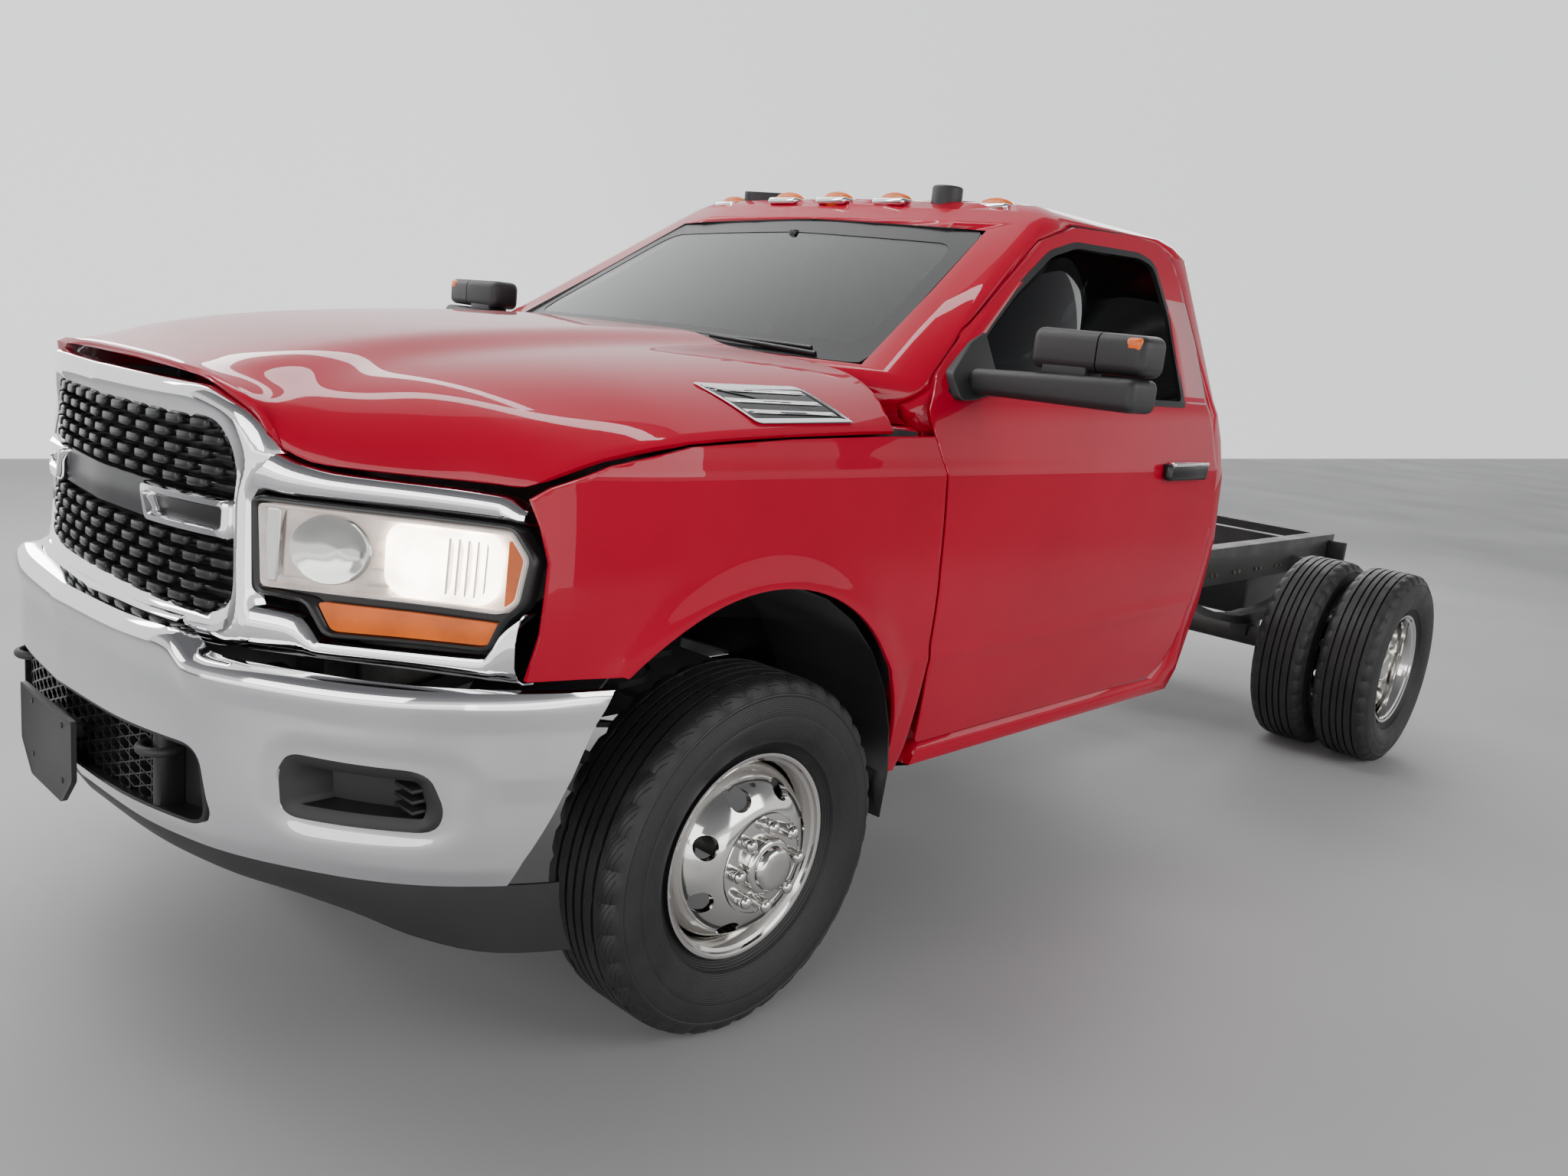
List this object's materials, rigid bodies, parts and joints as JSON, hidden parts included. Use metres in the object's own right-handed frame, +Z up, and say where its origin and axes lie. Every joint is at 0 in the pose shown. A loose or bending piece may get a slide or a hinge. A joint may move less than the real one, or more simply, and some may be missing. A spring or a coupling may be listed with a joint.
{
  "type": "chassis cab truck",
  "caption": "Red heavy-duty regular-cab chassis truck with bare rear frame, twin rear wheels, chrome grille and bumper, tow mirrors, opening doors and hood.",
  "frame": {"origin": "on the ground below the middle of the truck's length", "axes": "+Y to the truck's rear (it faces -Y), +X to the driver's left side, +Z up"},
  "size_m": [2.75, 5.92, 1.9875],
  "materials": {
    "red_paint": "gloss",
    "chrome": "polished",
    "black_steel": "satin",
    "black_plastic": "satin",
    "tyre_rubber": "matte",
    "tinted_glass": "clear",
    "lamp_lens": "clear",
    "cast_metal": "as cast",
    "grey_cloth": "woven",
    "red_lens": "gloss"
  },
  "bodies": {
    "chassis": {"cab": "red_paint", "windshield": "tinted_glass", "rear_window": "tinted_glass", "frame": "black_steel", "driveshaft": "black_steel", "front_axle": "black_steel", "rear_axle": "black_steel", "radiator": "cast_metal", "engine": "cast_metal", "transmission": "cast_metal", "exhaust": "cast_metal", "fuel_tank": "black_plastic", "bumper_insert": "black_plastic", "air_dam": "black_plastic", "plate_holder": "black_plastic", "grille_mesh": "black_plastic", "dashboard": "black_plastic", "cowl": "black_plastic", "front_bumper": "chrome", "grille_surround": "chrome", "seat": "grey_cloth", "fender_left": "red_paint", "wheel_liner_left": "black_plastic", "fog_bezel_left": "black_plastic", "headlamp_left": "lamp_lens", "coil_spring_left": "black_steel", "leaf_spring_left": "black_steel", "tail_lamp_left": "red_lens", "fender_right": "red_paint", "wheel_liner_right": "black_plastic", "fog_bezel_right": "black_plastic", "headlamp_right": "lamp_lens", "coil_spring_right": "black_steel", "leaf_spring_right": "black_steel", "tail_lamp_right": "red_lens"},
    "steering_wheel": {"steering_wheel": "black_plastic"},
    "hood": {"hood": "red_paint"},
    "tie_rod": {"tie_rod": "black_steel"},
    "door_left": {"door_left": "red_paint", "door_glass_left": "tinted_glass", "mirror_left": "black_plastic"},
    "knuckle_left": {"knuckle_left": "cast_metal"},
    "wheel_front_left": {"tyre_front_left": "tyre_rubber", "rim_front_left": "chrome"},
    "wheel_rear_left": {"rims_rear_left": "chrome", "tyre_rear_inner_left": "tyre_rubber", "tyre_rear_outer_left": "tyre_rubber"},
    "door_right": {"door_right": "red_paint", "door_glass_right": "tinted_glass", "mirror_right": "black_plastic"},
    "knuckle_right": {"knuckle_right": "cast_metal"},
    "wheel_front_right": {"tyre_front_right": "tyre_rubber", "rim_front_right": "chrome"},
    "wheel_rear_right": {"rims_rear_right": "chrome", "tyre_rear_inner_right": "tyre_rubber", "tyre_rear_outer_right": "tyre_rubber"}
  },
  "joints": [
    {"name": "hood_lid", "type": "hinge", "parent": "chassis", "child": "hood", "pos_m": [0, -1.4928, 1.4518], "axis": [-1, 0, 0], "range_deg": [0, 50]},
    {"name": "steer_left", "type": "hinge", "parent": "chassis", "child": "knuckle_left", "pos_m": [0.755, -1.885, 0.40054], "axis": [0, 0, 1], "range_deg": [-32, 32]},
    {"name": "steer_right", "type": "hinge", "parent": "chassis", "child": "knuckle_right", "pos_m": [-0.755, -1.885, 0.40054], "axis": [0, 0, 1], "range_deg": [-33, 33]},
    {"name": "tie_rod_end", "type": "hinge", "parent": "knuckle_left", "child": "tie_rod", "pos_m": [0.755, -1.735, 0.40054], "axis": [0, 0, 1], "range_deg": [-33, 33]},
    {"name": "steering_wheel_turn", "type": "hinge", "parent": "chassis", "child": "steering_wheel", "pos_m": [0.4, -0.91, 1.245], "axis": [0, 0.8829, 0.4695], "range_deg": [-485, 485]},
    {"name": "door_hinge_left", "type": "hinge", "parent": "chassis", "child": "door_left", "pos_m": [1.002, -1.40828, 1.0152], "axis": [0, 0, -1], "range_deg": [0, 65]},
    {"name": "wheel_front_left_spin", "type": "hinge", "parent": "knuckle_left", "child": "wheel_front_left", "pos_m": [0.8825, -1.885, 0.40054], "axis": [-1, 0, 0], "continuous": true},
    {"name": "wheel_rear_left_spin", "type": "hinge", "parent": "chassis", "child": "wheel_rear_left", "pos_m": [0.9625, 1.76, 0.40054], "axis": [-1, 0, 0], "continuous": true},
    {"name": "door_hinge_right", "type": "hinge", "parent": "chassis", "child": "door_right", "pos_m": [-1.002, -1.40828, 1.0152], "axis": [0, 0, 1], "range_deg": [0, 65]},
    {"name": "wheel_front_right_spin", "type": "hinge", "parent": "knuckle_right", "child": "wheel_front_right", "pos_m": [-0.8825, -1.885, 0.40054], "axis": [-1, 0, 0], "continuous": true},
    {"name": "wheel_rear_right_spin", "type": "hinge", "parent": "chassis", "child": "wheel_rear_right", "pos_m": [-0.9625, 1.76, 0.40054], "axis": [-1, 0, 0], "continuous": true}
  ],
  "couplings": [
    {"joint": "steer_right", "follows": "steer_left", "ratio": 1},
    {"joint": "tie_rod_end", "follows": "steer_left", "ratio": -1},
    {"joint": "steering_wheel_turn", "follows": "steer_left", "ratio": 15}
  ]
}
